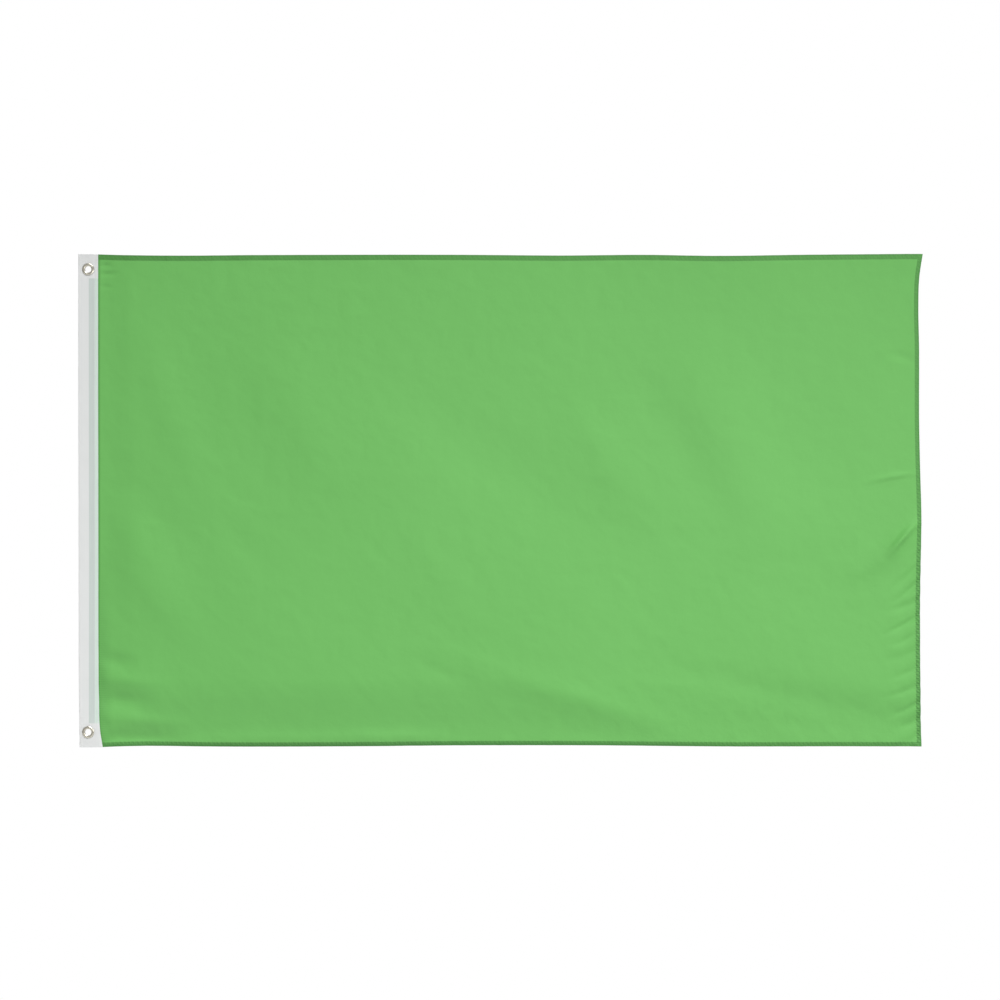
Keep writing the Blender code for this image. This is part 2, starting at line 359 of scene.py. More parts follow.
threadLook = {
    "green": ((0.07, 0.27, 0.05, 1), (0.12, 0.40, 0.09, 1)),
    "white": ((0.62, 0.66, 0.64, 1), (0.84, 0.86, 0.84, 1)),
    "roughness": 0.55, "sheen": 0.2, "specular": 0.35,
    "fibreScale": 2600.0, "twist": 9000.0, "twistDepth": 0.00006,
}


def threadFinish(name, colours):
    look = threadLook
    finish = Finish(name)
    spot, x, z = finish.place()
    fibre = finish.noise(spot, look["fibreScale"])
    normal = finish.bump(finish.wave((x + z) * look["twist"]), look["twistDepth"], 0.6)
    return finish.close(finish.add("BsdfPrincipled", None, {
        "Base Color": finish.tint(finish.smooth(fibre, 0.3, 0.7), *colours), "Roughness": look["roughness"],
        "Normal": normal, "Sheen Weight": look["sheen"], "Specular IOR Level": look["specular"],
    }))


metalLook = {
    "bright": (0.68, 0.65, 0.55, 1), "worn": (0.54, 0.51, 0.43, 1), "recessShade": (0.10, 0.09, 0.075, 1),
    "roughness": 0.27, "specular": 0.5, "rubScale": 260.0, "scratchScale": 1500.0, "scratchDepth": 0.00002,
    "turning": 60000.0, "turningStray": 6.0, "turningDepth": 0.000004,
}


def grommetMetal():
    look = metalLook
    finish = Finish("platedBrass")
    spot = finish.add("TexCoord", output="Object")
    recess = finish.attribute("recess")
    rub = finish.noise(spot, look["rubScale"], detail=5.0, rough=0.6)
    scratch = finish.noise(spot, look["scratchScale"], (1, 1, 0.15), detail=3.0)
    turning = finish.wave(finish.attribute("ring") * look["turning"] + rub * look["turningStray"])
    plated = finish.tint(finish.smooth(rub, 0.42, 0.7), look["bright"], look["worn"])
    # painted shade: the recesses take a near-black tone, and are also made rougher
    colour = finish.tint(recess * finish.smooth(rub, 0.2, 0.6, 0.55, 1.0), plated, look["recessShade"])
    roughness = rub * 0.16 + recess * 0.25 + (look["roughness"] - 0.05)
    normal = finish.bump(turning, look["turningDepth"], 0.35)
    normal = finish.bump(scratch, look["scratchDepth"], 0.35, normal)
    return finish.close(finish.add("BsdfPrincipled", None, {
        "Base Color": colour, "Metallic": 1.0, "Roughness": roughness, "Normal": normal,
        "Specular IOR Level": look["specular"],
    }))


finishes = {
    "panel": panelCloth(),
    "heading": headingCanvas(),
    "greenThread": threadFinish("greenThread", threadLook["green"]),
    "whiteThread": threadFinish("whiteThread", threadLook["white"]),
    "metal": grommetMetal(),
}
print("flag: materials made")


# how the hanging cloth lies: its relief towards the front, and its edges

drape = {
    # soft folds: from x, z, to x, z, sideways bow, half width, height towards the front
    "folds": (
        # across the middle
        (0.46, -0.15, 1.00, -0.52, -0.01, 0.060, -0.0031),
        (0.84, -0.22, 1.01, -0.46, 0.00, 0.036, 0.0024),
        (0.97, -0.18, 1.14, -0.47, 0.01, 0.042, -0.0032),
        (1.04, -0.10, 1.21, -0.50, 0.01, 0.085, 0.0072),
        (0.57, -0.44, 0.68, -0.64, 0.00, 0.030, 0.0011),
        (1.10, -0.42, 1.46, -0.50, 0.00, 0.085, 0.0032),
        # from the hoist
        (0.09, -0.06, 0.215, -0.41, -0.01, 0.036, 0.0025),
        (0.31, -0.12, 0.45, -0.40, -0.01, 0.060, 0.0035),
        (0.02, -0.30, 0.22, -0.52, -0.02, 0.036, -0.0020),
        (0.07, -0.40, 0.20, -0.67, -0.03, 0.045, 0.0043),
        (0.22, -0.42, 0.34, -0.56, 0.00, 0.020, -0.0008),
        # along the bottom
        (0.57, -0.690, 0.68, -0.740, 0.00, 0.012, -0.0009),
        (0.60, -0.672, 1.06, -0.828, -0.004, 0.026, 0.0026),
        (0.80, -0.738, 1.07, -0.822, 0.000, 0.026, 0.0018),
        (0.70, -0.805, 1.04, -0.852, 0.004, 0.020, -0.0006),
        (1.00, -0.700, 1.58, -0.838, 0.00, 0.028, -0.0031),
        (1.16, -0.800, 1.42, -0.822, 0.00, 0.016, -0.0009),
        (0.46, -0.830, 0.64, -0.834, 0.00, 0.011, 0.0014),
        (0.16, -0.834, 0.64, -0.834, 0.00, 0.012, 0.0015),
        # at the fly
        (1.360, -0.545, 1.495, -0.390, -0.02, 0.022, 0.0060),
        (1.424, -0.508, 1.476, -0.447, 0.002, 0.0064, 0.0056),
        (1.385, -0.379, 1.480, -0.363, 0.003, 0.0044, 0.0021),
        (1.350, -0.185, 1.420, -0.140, 0.006, 0.010, 0.0005),
        (1.425, -0.150, 1.480, -0.170, 0.004, 0.008, -0.0012),
        # pleats drawn in by the seam
        (0.012, 0.003, 0.042, 0.010, 0.00, 0.0036, -0.0022),
        (0.012, -0.011, 0.054, -0.005, 0.00, 0.0036, -0.0020),
        (0.012, -0.031, 0.044, -0.030, 0.00, 0.0036, -0.0012),
        (0.000, -0.692, 0.085, -0.700, 0.00, 0.014, -0.0030),
        (0.010, -0.727, 0.120, -0.735, 0.00, 0.012, 0.0020),
        (-0.010, -0.764, 0.115, -0.772, 0.00, 0.017, -0.0052),
        (0.010, -0.797, 0.170, -0.808, 0.00, 0.011, 0.0019),
        (-0.030, -0.835, 0.170, -0.837, 0.00, 0.015, -0.0055),
    ),
    "broadWidth": 0.030,
    # the cloth falls back above the bottom hem, and comes forward from the canvas
    "tuck": {"top": -0.728, "bottom": -0.838, "depth": 0.0107, "leftEnd": 0.11, "right": 0.5,
             "eases": (0.55, 0.90)},
    "rise": {"to": 0.085, "height": 0.0038, "fade": 1.4},
    "swell": ((1.35, 0.9, 0.0016, 0.3), (0.62, -0.4, 0.0012, 1.9), (0.45, 0.8, 0.0008, 4.1)),
    # the fine crumple left all over the cloth: cell, height
    "crumple": ((0.022, 0.00036), (0.011, 0.00015)), "crumpleSeed": 23,
    "seed": 11,
    # gathers at each stitched edge; grows: the least strength, what is added, and between which places
    "puckers": {
        "top": {"count": 96, "width": 0.0050, "reach": 0.012, "height": 0.00042, "slope": 0.0,
                "grows": (1.0, 0.0, 0.0, 1.0)},
        "bottom": {"count": 110, "width": 0.0055, "reach": 0.014, "height": 0.00062, "slope": 0.25,
                   "grows": (0.7, 0.5, 0.45, 0.4501)},
        "fly": {"count": 44, "width": 0.0055, "reach": 0.022, "height": 0.00070, "slope": -1.1,
                "grows": (0.35, 1.1, -0.38, -0.52)},
        "hoist": {"count": 34, "width": 0.0055, "reach": 0.020, "height": 0.00060, "slope": -0.15,
                  "grows": (0.45, 0.9, -0.45, -0.80)},
    },
    "wrinkles": {"count": 11, "from": -0.515, "to": -0.825, "stray": 0.004, "run": 0.058, "fall": 0.040,
                 "past": 0.4, "bow": -0.004, "width": 0.0058, "height": 0.0022},
    "creases": {"count": 26, "across": (0.12, 1.40), "up": (-0.75, -0.08), "turn": (-0.5, 0.5),
                "half": (0.012, 0.035), "bow": 0.003, "width": 0.0035, "height": (-0.00020, 0.00014)},
    # the stiff canvas keeps a share of the small folds and of the broad ones, and is flat round its grommets
    "canvasShare": 0.12, "canvasBroad": 0.5, "flatRound": (0.011, 0.036),
}


def softStep(value, low, high):
    t = np.clip((value - low) / (high - low), 0.0, 1.0)
    return t * t * (3 - 2 * t)


def foldHeight(x, z, fold):
    x0, z0, x1, z1, bow, width, height = fold
    length = math.hypot(x1 - x0, z1 - z0)
    along = ((x - x0) * (x1 - x0) + (z - z0) * (z1 - z0)) / length / length
    across = ((z - z0) * (x1 - x0) - (x - x0) * (z1 - z0)) / length
    inside = np.clip(along, 0.0, 1.0)
    across = across - bow * 4 * inside * (1 - inside)
    past = (along - inside) * length
    fade = np.sin(np.pi * np.clip(along * 0.8 + 0.1, 0.0, 1.0)) ** 1.5
    return height * fade * np.exp(-(across / width) ** 2 - (past / (2 * width)) ** 2)


def crumpleAt(x, z):
    # smooth noise on square cells
    rng = np.random.default_rng(drape["crumpleSeed"])
    relief = np.zeros_like(x)
    for cell, height in drape["crumple"]:
        across, up = (x - hoistX) / cell + 2, (z - bottomZ) / cell + 2
        heights = rng.uniform(-1, 1, (int((flyX - hoistX) / cell) + 6, int((topZ - bottomZ) / cell) + 6))
        column, row = np.floor(across).astype(int), np.floor(up).astype(int)
        right, above = softStep(across - column, 0, 1), softStep(up - row, 0, 1)
        lower = heights[column, row] * (1 - right) + heights[column + 1, row] * right
        upper = heights[column, row + 1] * (1 - right) + heights[column + 1, row + 1] * right
        relief = relief + height * (lower * (1 - above) + upper * above)
    return relief


def edgePuckers(edge, along, away, span, rng):
    # small gathers that start at a stitched edge and fade into the cloth
    sizes = drape["puckers"][edge]
    count = sizes["count"]
    least, more, start, end = sizes["grows"]
    relief = np.zeros_like(along)
    stray = rng.normal(0, 0.3, count) * (span[1] - span[0]) / count
    for place in np.linspace(span[0], span[1], count) + stray:
        wide = sizes["width"] * rng.uniform(0.6, 1.5)
        far = sizes["reach"] * rng.uniform(0.5, 1.8)
        lean = sizes["slope"] * rng.uniform(0.7, 1.3)
        strong = sizes["height"] * rng.uniform(0.2, 1.0) * rng.choice((-1, 1), p=(0.62, 0.38))
        strong = strong * (least + more * float(softStep(place, start, end)))
        spread = wide * (1 + away / far)
        relief += strong * np.exp(-((along - place - lean * away) / spread) ** 2 - away / far)
    return relief


def flyWrinkles(rng):
    # short folds that fan out of the lower half of the fly hem
    sizes = drape["wrinkles"]
    count, past = sizes["count"], sizes["past"]
    for place in np.linspace(sizes["from"], sizes["to"], count) + rng.normal(0, sizes["stray"], count):
        run, fall = sizes["run"] * rng.uniform(0.7, 1.2), sizes["fall"] * rng.uniform(0.6, 1.2)
        width = sizes["width"] * rng.uniform(0.8, 1.3)
        height = sizes["height"] * rng.uniform(0.6, 1.15)
        yield flyX - run, place - fall, flyX + run * past, place + fall * past, sizes["bow"], width, -height


def smallCreases(rng):
    sizes = drape["creases"]
    for _ in range(sizes["count"]):
        middleX, middleZ = rng.uniform(*sizes["across"]), rng.uniform(*sizes["up"])
        turn, half = rng.normal(*sizes["turn"]), rng.uniform(*sizes["half"])
        dx, dz = math.cos(turn) * half, math.sin(turn) * half
        height = rng.uniform(*sizes["height"])
        yield middleX - dx, middleZ - dz, middleX + dx, middleZ + dz, sizes["bow"], sizes["width"], height


def reliefAt(x, z):
    # height of the cloth's middle towards the front, in metres
    x, z = np.broadcast_arrays(np.asarray(x, float), np.asarray(z, float))
    rng = np.random.default_rng(drape["seed"])
    relief = np.zeros_like(x)
    broad = np.zeros_like(x)
    for wave, slant, height, phase in drape["swell"]:
        broad = broad + height * np.sin((x + slant * z) * math.tau / wave + phase)
    for fold in drape["folds"]:
        width = fold[5]
        if width < drape["broadWidth"]:
            relief = relief + foldHeight(x, z, fold)
        else:
            broad = broad + foldHeight(x, z, fold)
    tuck, rise = drape["tuck"], drape["rise"]
    share = tuck["right"] + (1 - tuck["right"]) * (1 - softStep(x, *tuck["eases"]))
    share = share * softStep(x, hoistX, tuck["leftEnd"])
    broad = broad - tuck["depth"] * share * softStep(-z, -tuck["top"], -tuck["bottom"])
    forward = rise["height"] * softStep(x, seamX, rise["to"]) * (1 - softStep(x, rise["to"], rise["fade"]))
    broad = broad + forward
    # the first and last pucker along each edge keep clear of its corners
    across, up = (seamX + 0.02, flyX - 0.01), (bottomZ + 0.01, topZ - 0.02)
    relief = relief + edgePuckers("top", x, topZ - z, across, rng)
    relief = relief + edgePuckers("bottom", x, z - bottomZ, across, rng)
    relief = relief + edgePuckers("fly", z, flyX - x, up, rng)
    relief = relief + edgePuckers("hoist", z, np.abs(x - seamX), up, rng)
    for folds in (flyWrinkles(rng), smallCreases(rng)):
        for fold in folds:
            relief = relief + foldHeight(x, z, fold)
    relief = relief + crumpleAt(x, z)
    small, large = drape["canvasShare"], drape["canvasBroad"]
    relief = relief * (small + (1 - small) * softStep(x, seamX - 0.006, seamX + 0.016))
    relief = relief + broad * (large + (1 - large) * softStep(x, hoistX, seamX + 0.06))
    for centre in grommetCentres.values():
        far = np.hypot(x - centre[0], z - centre[1])
        relief = relief * softStep(far, *drape["flatRound"])
    return relief


edges = {
    # how far each edge of the hanging flag strays outwards, at a few places along it
    "top": ((0.0, -0.0006), (0.06, -0.002), (0.15, -0.003), (0.30, -0.002), (0.66, -0.0014),
            (0.83, -0.0022), (0.99, -0.001), (1.12, -0.003), (1.28, -0.001), (1.45, 0.0005)),
    "bottom": ((0.0, -0.0004), (0.10, -0.0016), (0.24, -0.0004), (0.44, -0.0006), (0.68, -0.0026),
               (0.88, -0.0034), (1.16, -0.0008), (1.36, -0.0012), (1.48, -0.0009)),
    "fly": ((-0.85, 0.0008), (-0.76, -0.0016), (-0.62, -0.0026), (-0.45, -0.001), (-0.27, -0.0044),
            (-0.13, -0.0046), (-0.07, -0.0058), (-0.012, -0.004), (0.027, 0.0018)),
    "hoist": ((-0.85, 0.0025), (-0.72, 0.001), (-0.60, 0.0007), (0.027, 0.0002)),
    "seam": ((-0.85, 0.0078), (-0.82, 0.0034), (-0.76, 0.0012), (-0.68, 0.0003), (-0.60, 0.0),
             (-0.52, 0.0), (0.027, 0.0)),
    # how far into the cloth an edge's stray reaches, and what stays in place round each grommet
    "reach": 0.16, "still": (0.009, 0.018),
}


def edgeShift(name, place):
    # a smooth line through the edge's own points
    known = np.array(edges[name])
    slopes = np.gradient(known[:, 1], known[:, 0])
    index = np.clip(np.searchsorted(known[:, 0], place) - 1, 0, len(known) - 2)
    x0, x1 = known[index, 0], known[index + 1, 0]
    t = np.clip((place - x0) / (x1 - x0), 0.0, 1.0)
    span = x1 - x0
    return (known[index, 1] * (1 + 2 * t) * (1 - t) ** 2 + slopes[index] * span * t * (1 - t) ** 2
            + known[index + 1, 1] * t ** 2 * (3 - 2 * t) + slopes[index + 1] * span * t ** 2 * (t - 1))


def shifted(x, z):
    # where a point of the flat flag comes to lie in the plane of the flag
    reach = edges["reach"]
    nearFly = softStep(x, flyX - reach, flyX)
    nearTop = softStep(z, topZ - reach, topZ)
    nearBottom = softStep(-z, -bottomZ - reach, -bottomZ)
    hoistPull, seamPull = edgeShift("hoist", z), edgeShift("seam", z)
    inHeading = softStep(x, hoistX, seamX)
    inPanel = seamPull * (1 - softStep(x, seamX, seamX + reach))
    pull = np.where(x < seamX, hoistPull * (1 - inHeading) + seamPull * inHeading, inPanel)
    for centre in grommetCentres.values():
        far = np.hypot(x - centre[0], z - centre[1])
        pull = pull * softStep(far, *edges["still"])
    newX = x + edgeShift("fly", z) * nearFly + pull
    outwards = softStep(x, hoistX, seamX + 0.05)
    newZ = z + (edgeShift("top", x) * nearTop - edgeShift("bottom", x) * nearBottom) * outwards
    return newX, newZ


# grids of cloth


def gradedLine(start, end, sizes, coarse):
    # places from start to end, whose spacing grows away from each finer end
    fine = np.linspace(start, end, 4000)
    edge, growth = sizes["edgeCell"], sizes["growth"]
    nearStart, nearEnd = edge + growth * (fine - start), edge + growth * (end - fine)
    spacing = np.minimum(sizes[coarse], np.minimum(nearStart, nearEnd))
    steps = np.concatenate(([0], np.cumsum(np.diff(fine) / spacing[:-1])))
    count = int(math.ceil(steps[-1]))
    return np.interp(np.linspace(0, steps[-1], count + 1), steps, fine)


def gridFaces(columns, rows):
    first = (np.arange(columns - 1)[:, None] * rows + np.arange(rows - 1)[None, :]).ravel()
    return np.stack([first, first + rows, first + rows + 1, first + 1], axis=1)


def gridNormals(points):
    across = np.gradient(points, axis=0)
    up = np.gradient(points, axis=1)
    normals = np.cross(across, up)
    return normals / np.maximum(np.linalg.norm(normals, axis=2, keepdims=True), 1e-12)


def meshPiece(name, points, faces, finish, normals=None, **attributes):
    mesh = bpy.data.meshes.new(name)
    mesh.from_pydata(points.tolist(), [], faces.tolist())
    mesh.polygons.foreach_set("use_smooth", np.ones(len(mesh.polygons), bool))
    for attribute, values in attributes.items():
        layer = mesh.attributes.new(attribute, "FLOAT", "POINT")
        layer.data.foreach_set("value", np.asarray(values, np.float32).ravel())
    if normals is not None:
        mesh.normals_split_custom_set_from_vertices(normals.tolist())
    mesh.materials.append(finish)
    piece = bpy.data.objects.new(name, mesh)
    bpy.context.scene.collection.objects.link(piece)
    return piece


# the panel: one cloth with turned hems, parted where the CAD strips are rigid

panelSizes = {
    "insideHeading": 0.005, "cellAcross": 0.0027, "cellUp": 0.0029, "edgeCell": 0.0008, "growth": 0.10,
    "plyGap": 0.00025, "hemCell": 0.0016, "hemPuff": 0.00022, "bottomCurl": 0.0016,
    "stitchDip": 0.00020, "dipWidth": 0.0009, "crossEase": (0.0005, 0.004), "plyBlur": 0.0004,
    "puffEase": (-0.0008, 0.0012), "curlReach": 1.2, "seamTight": 0.35, "turnSteps": 6,
    "topHem": 0.0095, "bottomHem": 0.0080, "flyHem": 0.0080, "allowance": 0.0008,
    "stitchIn": 0.0015, "flyOuterRow": 0.0020, "seamBlend": 0.055, "foldBlend": 0.120,
}


def withinHem(distance, hem, start, end):
    # 1 inside a hem, easing to 0 from start to end past its inner edge
    return 1 - softStep(distance, panelSizes[hem] + start, panelSizes[hem] + end)


def hemTurn(hem):
    # the turned part of a hem, from the front ply's edge on: distance in, ply place, share turned over
    width, gap = panelSizes[hem], panelSizes["plyGap"]
    count = max(3, int(width / panelSizes["hemCell"]))
    angles = np.linspace(-90, 90, panelSizes["turnSteps"] + 1)[1:] * math.pi / 180
    outer = [(gap - gap * math.cos(a), 1 + math.sin(a), (1 + math.sin(a)) / 2) for a in angles]
    back = [(distance, 2.0, 1.0) for distance in np.linspace(gap, width, count)[1:]]
    inner = [(width + gap / 2 * math.cos(a), 1.5 - math.sin(a) / 2, (1 - math.sin(a)) / 2) for a in angles]
    middle = [(distance, 1.0, 0.0) for distance in np.linspace(width, panelSizes["allowance"], count)[1:]]
    return np.array(outer + back + inner + middle)


def panelRows():
    gap = panelSizes["plyGap"]
    top, bottom = hemTurn("topHem"), hemTurn("bottomHem")
    front = gradedLine(bottomZ + gap, topZ - gap, panelSizes, "cellUp")
    z = np.concatenate((bottomZ + bottom[::-1, 0], front, topZ - top[:, 0]))
    ply = np.concatenate((bottom[::-1, 1], np.zeros(len(front)), top[:, 1]))
    return z, ply


def panelColumns():
    fly = hemTurn("flyHem")
    front = gradedLine(
        seamX - panelSizes["insideHeading"], flyX - panelSizes["plyGap"], panelSizes, "cellAcross")
    x = np.concatenate((front, flyX - fly[:, 0]))
    ply = np.concatenate((np.zeros(len(front)), fly[:, 1]))
    over = np.concatenate((np.zeros(len(front)), fly[:, 2]))
    return x, ply, over


def hemRelief(x, z):
    # the three plies stand a little proud of the front, and each row of stitches draws them in
    sizes = panelSizes
    puff = -sizes["bottomCurl"] * (1 - softStep(z - bottomZ, 0.0, sizes["bottomHem"] * sizes["curlReach"]))
    for distance, hem, outer in ((topZ - z, "topHem", ()), (z - bottomZ, "bottomHem", ()),
                                 (flyX - x, "flyHem", (sizes["flyOuterRow"],))):
        puff = puff + sizes["hemPuff"] * withinHem(distance, hem, *sizes["puffEase"])
        for row in (sizes[hem] - sizes["stitchIn"], *outer):
            puff = puff - sizes["stitchDip"] * np.exp(-((distance - row) / sizes["dipWidth"]) ** 2)
    return puff


def panelSurface(x, z, plyX, plyZ, over):
    gap = panelSizes["plyGap"]
    ease = panelSizes["crossEase"]
    crossed = np.maximum(withinHem(topZ - z, "topHem", *ease), withinHem(z - bottomZ, "bottomHem", *ease))
    depth = plyX * (1 + 2 * crossed) + plyZ * (1 - 2 * over) + 2 * crossed * over
    tight = panelSizes["seamTight"]
    tight = tight + (1 - tight) * softStep(x, seamX - 0.001, seamX + 0.003)
    relief = reliefAt(x, z) + hemRelief(x, z) * softStep(x, seamX - 0.001, seamX + 0.004)
    newX, newZ = shifted(x, z)
    return np.stack([newX, depth * gap * tight - relief, newZ], axis=-1)


def pliesAt(x, z):
    blur = panelSizes["plyBlur"]
    inFly, inTop, inBottom = (
        withinHem(distance, hem, -blur, blur)
        for distance, hem in ((flyX - x, "flyHem"), (topZ - z, "topHem"), (z - bottomZ, "bottomHem")))
    return (1 + 2 * inFly) * (1 + 2 * np.maximum(inTop, inBottom))


hemMarks = {
    # gathers: how strong in each hem, how far they fade out of it, and where along the fly they grow
    "fade": 0.004, "top": 0.22, "bottom": 0.5, "fly": 0.22, "flyGrows": (-0.30, -0.55),
    # painted shade beside the seam, where the canvas grips the panel: just past the seam, and further out low
    # down
    "seamShade": (0.0002, 0.0048), "lowSeamShade": 0.5, "lowSeamShadeAcross": (0.002, 0.028), "lowSeamShadeDown": (-0.45, -0.75),
    # the outermost edge of each hem turns away from the light: strength, and from where to where it eases
    "lowRim": (0.95, 0.0022, 0.0050), "lowRimEases": (0.5, 1.0, 1.3),
    "topRim": (0.6, 0.0008, 0.0030), "flyRim": (0.6, 0.0010, 0.0030),
}


# painted shade at a hem's outermost edge, fading inwards
def hemRimShade(name, distance):
    strength, start, end = hemMarks[name]
    return strength * (1 - softStep(distance, start, end))


def hemMasks(x, z):
    marks = hemMarks
    fly = withinHem(flyX - x, "flyHem", 0, marks["fade"])
    top = withinHem(topZ - z, "topHem", 0, marks["fade"])
    bottom = withinHem(z - bottomZ, "bottomHem", 0, marks["fade"])
    edge = np.maximum(top * marks["top"], bottom * marks["bottom"]) * (1 - fly)
    seamShade = 1 - softStep(x, seamX + marks["seamShade"][0], seamX + marks["seamShade"][1])
    near, far = marks["lowSeamShadeAcross"]
    low = marks["lowSeamShade"] * softStep(z, *marks["lowSeamShadeDown"]) * (1 - softStep(x, seamX + near, seamX + far))
    less, start, end = marks["lowRimEases"]
    lowRim = hemRimShade("lowRim", z - bottomZ) * (1 - less * softStep(x, start, end))
    rim = np.maximum(np.maximum(lowRim, hemRimShade("topRim", topZ - z)), hemRimShade("flyRim", flyX - x))
    flyStrength = marks["fly"] + (1 - marks["fly"]) * softStep(z, *marks["flyGrows"])
    return {"flyHem": fly * flyStrength, "edgeHem": edge, "paintedSeamShade": np.maximum(seamShade, low), "hemRimShade": rim}


def panelParts():
    # where each part starts and ends, its two bodies and the hinge between them
    names = ["heading", "panel_1", "panel_2", "panel_3", "panel_4"]
    hingeX = [hinges[name] for name in names[1:]]
    width = hingeX[1] - hingeX[0]
    cuts = [-1.0] + [hinge + width / 2 for hinge in hingeX[:3]] + [9.0]
    return [
        {"number": i + 1, "bodies": (names[i], names[i + 1]), "hinge": hingeX[i],
         "from": cuts[i], "to": cuts[i + 1]}
        for i in range(4)
    ]


def bendPiece(piece, part):
    if part["number"] == 1:
        start, end = seamX, seamX + panelSizes["seamBlend"]
    else:
        start = part["hinge"] - panelSizes["foldBlend"] / 2
        end = part["hinge"] + panelSizes["foldBlend"] / 2
    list(part["bodies"])
    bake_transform(piece)


def makePanel():
    sizes = panelSizes
    x, plyX, over = panelColumns()
    z, plyZ = panelRows()
    gridX, gridZ = np.meshgrid(x, z, indexing="ij")
    points = panelSurface(gridX, gridZ, plyX[:, None], plyZ[None, :], over[:, None])
    normals = gridNormals(points)
    masks = {"plies": pliesAt(gridX, gridZ), **hemMasks(gridX, gridZ)}
    frontX = x[plyX == 0]
    cutParts = panelParts()
    for part in cutParts:
        number = part["number"]
        first, last = (int(np.argmin(np.abs(frontX - part[end]))) for end in ("from", "to"))
        turned = 0.0
        flatWidth = frontX[last] - frontX[first]
        if number == 4:
            last = len(x) - 1
            turned = 2 * sizes["flyHem"]
        chosen = slice(first, last + 1)
        attributes = {name: mask[chosen] for name, mask in masks.items()}
        piece = meshPiece(
            f"panel_cloth_{number}", points[chosen].reshape(-1, 3), gridFaces(last + 1 - first, len(z)),
            finishes["panel"], normals[chosen].reshape(-1, 3), **attributes)
        bendPiece(piece, part)
        covered = [f"panel_strip_{number}"] + (["panel_hoist_margin"] if number == 1 else [])
        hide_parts(*covered)
        flatHeight = topZ - bottomZ + 2 * (sizes["topHem"] + sizes["bottomHem"])
        part["flat"] = (round(float(flatWidth + turned), 4), round(float(flatHeight), 4))
        part["cloth"] = piece
        print("flag: panel part", number, "cut", part["flat"], "faces", len(piece.data.polygons))
    return cutParts


parts = makePanel()


# the heading: a canvas strip folded round the panel's edge, its long edges and its ends turned in

headingSizes = {
    "half": 0.00090, "inner": 0.00045, "turnedIn": 0.0062,
    "endTurn": 0.012, "endInner": 0.42, "endFold": 0.0005,
    "cell": 0.0016, "cellUp": 0.0030, "edgeCell": 0.0006, "growth": 0.09, "holeRadius": 0.0082,
    "rowDip": 0.00022, "rowWidth": 0.0011, "rows": (0.0018, 0.0063), "rowsEnd": (0.010, 0.014),
    "pressed": 0.00025, "pressedFrom": 0.009, "pressedTo": 0.0118,
}


def headingPath():
    # round the folded strip, from the front's turned-in edge to the back's: x and place between the faces
    sizes = headingSizes
    half, inner = sizes["half"], sizes["inner"]
    fold = (half - inner) / 2
    angles = np.linspace(-90, 90, 7)[1:-1] * math.pi / 180
    bends = np.linspace(-90, -270, 13)[1:-1] * math.pi / 180
    frontIn = [(x, -inner) for x in np.linspace(seamX - sizes["turnedIn"], seamX - fold, 6)]
    turn = seamX - fold
    frontFold = [(turn + fold * math.cos(a), -(half + inner) / 2 - fold * math.sin(a)) for a in angles]
    count = int((turn - hoistX - half) / sizes["cell"])
    front = frontIn + frontFold + [(x, -half) for x in np.linspace(turn, hoistX + half, count)]
    bend = [(hoistX + half + half * math.cos(a), half * math.sin(a)) for a in bends]
    return np.array(front + bend + [(x, -y) for x, y in front[::-1]])


def headingRows():
    # up the strip: z and how far open the fold is, with both ends turned in
    sizes = headingSizes
    inner, fold = sizes["endInner"], sizes["endFold"]
    angles = np.linspace(90, -90, 7)[1:-1] * math.pi / 180
    hidden = [(distance, inner) for distance in np.linspace(sizes["endTurn"], fold, 8)]
    fronts = [(fold - fold * math.cos(a), (1 + inner) / 2 - (1 - inner) / 2 * math.sin(a)) for a in angles]
    end = np.array(hidden + fronts)
    middle = gradedLine(bottomZ + fold, topZ - fold, sizes, "cellUp")
    z = np.concatenate((bottomZ + end[:, 0], middle, topZ - end[::-1, 0]))
    opened = np.concatenate((end[:, 1], np.ones(len(middle)), end[::-1, 1]))
    return z, opened


def makeHeading():
    sizes = headingSizes
    path = headingPath()
    z, opened = headingRows()
    gridX, gridZ = np.meshgrid(path[:, 0], z, indexing="ij")
    thick = path[:, 1][:, None] * opened[None, :]
    side = np.sign(path[:, 1])[:, None]
    dip = np.zeros_like(gridX)
    for row in sizes["rows"]:
        dip = dip + sizes["rowDip"] * np.exp(-((gridX - (seamX - row)) / sizes["rowWidth"]) ** 2)
    for centre in grommetCentres.values():
        far = np.hypot(gridX - centre[0], gridZ - centre[1])
        pressed = sizes["pressed"] * (1 - softStep(far, sizes["pressedFrom"], sizes["pressedTo"]))
        dip = dip * softStep(far, *sizes["rowsEnd"]) + pressed
    dip = dip * (np.abs(path[:, 1]) > sizes["inner"] + 1e-6)[:, None] * opened[None, :]
    newX, newZ = shifted(gridX, gridZ)
    y = thick - side * dip - reliefAt(gridX, gridZ)
    points = np.stack([newX, y, newZ], axis=-1)
    faces = gridFaces(len(path), len(z))
    centres = points.reshape(-1, 3)[faces].mean(axis=1)
    keep = np.ones(len(faces), bool)
    for centre in grommetCentres.values():
        keep &= np.hypot(centres[:, 0] - centre[0], centres[:, 2] - centre[1]) > sizes["holeRadius"]
    faces = faces[keep][:, ::-1]
    points = points.reshape(-1, 3)
    piece = meshPiece("heading_strip", points, faces, finishes["heading"])
    dropPoints(piece.data, set(range(len(points))) - set(faces.ravel().tolist()))
    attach(piece, "heading")
    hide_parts("heading_band")
    flat = (2 * (seamX - hoistX + sizes["turnedIn"]), topZ - bottomZ + 2 * sizes["endTurn"])
    print("flag: heading faces", len(piece.data.polygons))
    return piece, flat


def dropPoints(mesh, loose):
    shape = bmesh.new()
    shape.from_mesh(mesh)
    shape.verts.ensure_lookup_table()
    bmesh.ops.delete(shape, geom=[shape.verts[index] for index in loose], context="VERTS")
    shape.to_mesh(mesh)
    shape.free()


heading, headingFlat = makeHeading()


# grommets, turned from their pressed section

